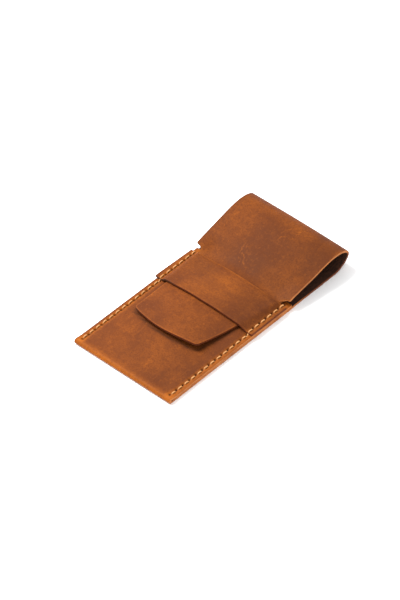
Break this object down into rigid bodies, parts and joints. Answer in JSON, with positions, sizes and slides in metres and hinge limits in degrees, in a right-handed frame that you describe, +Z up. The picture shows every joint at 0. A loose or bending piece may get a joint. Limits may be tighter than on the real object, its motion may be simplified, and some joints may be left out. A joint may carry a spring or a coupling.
{
  "type": "slim leather slip case with tuck flap",
  "caption": "Flat leather slip case: sewn pocket, hide rolled over at the nose into a flap, and a tongue tucked under a keeper band.",
  "frame": {"origin": "centre of the closed case's outline, on the surface it lies on", "axes": "+X across the case to its right seam with the flap up, +Y from the bottom fold to the rolled nose, +Z up through the layers"},
  "size_m": [0.08, 0.169, 0.0183],
  "materials": {
    "hide": "waxed pull-up leather, tan brown, lighter where bent",
    "band_hide": "waxed pull-up leather, tan brown with a lighter orange middle",
    "seam_thread": "waxed linen thread, golden tan"
  },
  "bodies": {
    "pouch": {"pocket_back": "hide", "pocket_bottom_fold": "hide", "pocket_front": "hide", "keeper_band": "band_hide", "flap_root": "hide", "left_seam_thread": "seam_thread", "right_seam_thread": "seam_thread"},
    "lower_nose": {"nose_lower": "hide"},
    "upper_nose": {"nose_upper": "hide"},
    "flap": {"flap_cover": "hide", "tongue": "hide"},
    "tip": {"tongue_tip": "hide"}
  },
  "joints": [
    {"name": "flap_open", "type": "hinge", "parent": "pouch", "child": "lower_nose", "pos_m": [0, 0.07679, 0.00264], "axis": [-1, 0, 0], "range_deg": [0, 30], "deforming": ["tongue"]},
    {"name": "nose_unroll", "type": "hinge", "parent": "lower_nose", "child": "upper_nose", "pos_m": [0, 0.0838, 0.0106], "axis": [-1, 0, 0], "range_deg": [0, 60]},
    {"name": "flap_swing", "type": "hinge", "parent": "upper_nose", "child": "flap", "pos_m": [0, 0.07656, 0.01683], "axis": [-1, 0, 0], "range_deg": [0, 60]},
    {"name": "tongue_tip_lift", "type": "hinge", "parent": "flap", "child": "tip", "pos_m": [0, -0.0097, 0.0081], "axis": [-1, 0, 0], "range_deg": [0, 60], "stiffness_Nm_per_rad": 0.004}
  ],
  "couplings": [
    {"joint": "nose_unroll", "follows": "flap_open", "ratio": 2},
    {"joint": "flap_swing", "follows": "flap_open", "ratio": 2}
  ]
}
